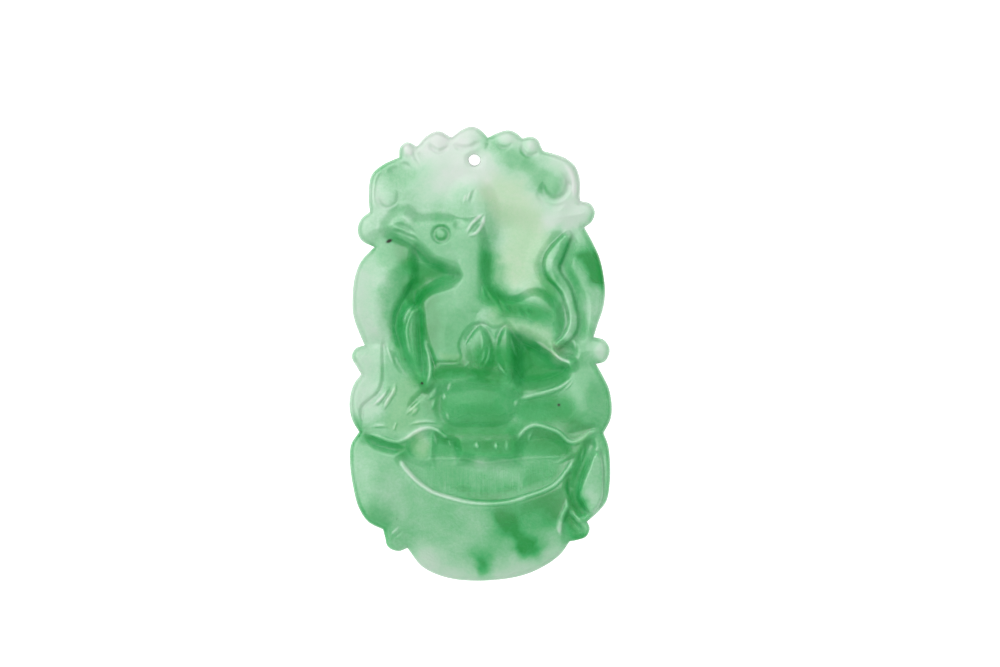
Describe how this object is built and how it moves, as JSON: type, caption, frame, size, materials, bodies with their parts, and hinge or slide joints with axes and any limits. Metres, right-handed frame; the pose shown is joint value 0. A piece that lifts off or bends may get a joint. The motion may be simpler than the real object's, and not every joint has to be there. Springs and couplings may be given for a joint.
{
  "type": "jade pendant",
  "caption": "Flat scalloped pendant carved in relief with a beast over a boat-shaped bowl, with a cord hole through its crown.",
  "frame": {"origin": "on the flat back, under the middle of the outline; the pendant lies on its back", "axes": "+Y runs up the pendant towards the crown and its cord hole, +X to the right seen from the front, +Z out of the carved front"},
  "size_m": [0.0335, 0.058, 0.0065],
  "materials": {
    "jade": "polished, translucent, mottled white and emerald green"
  },
  "bodies": {
    "root": {"pendant": "jade"}
  },
  "joints": []
}
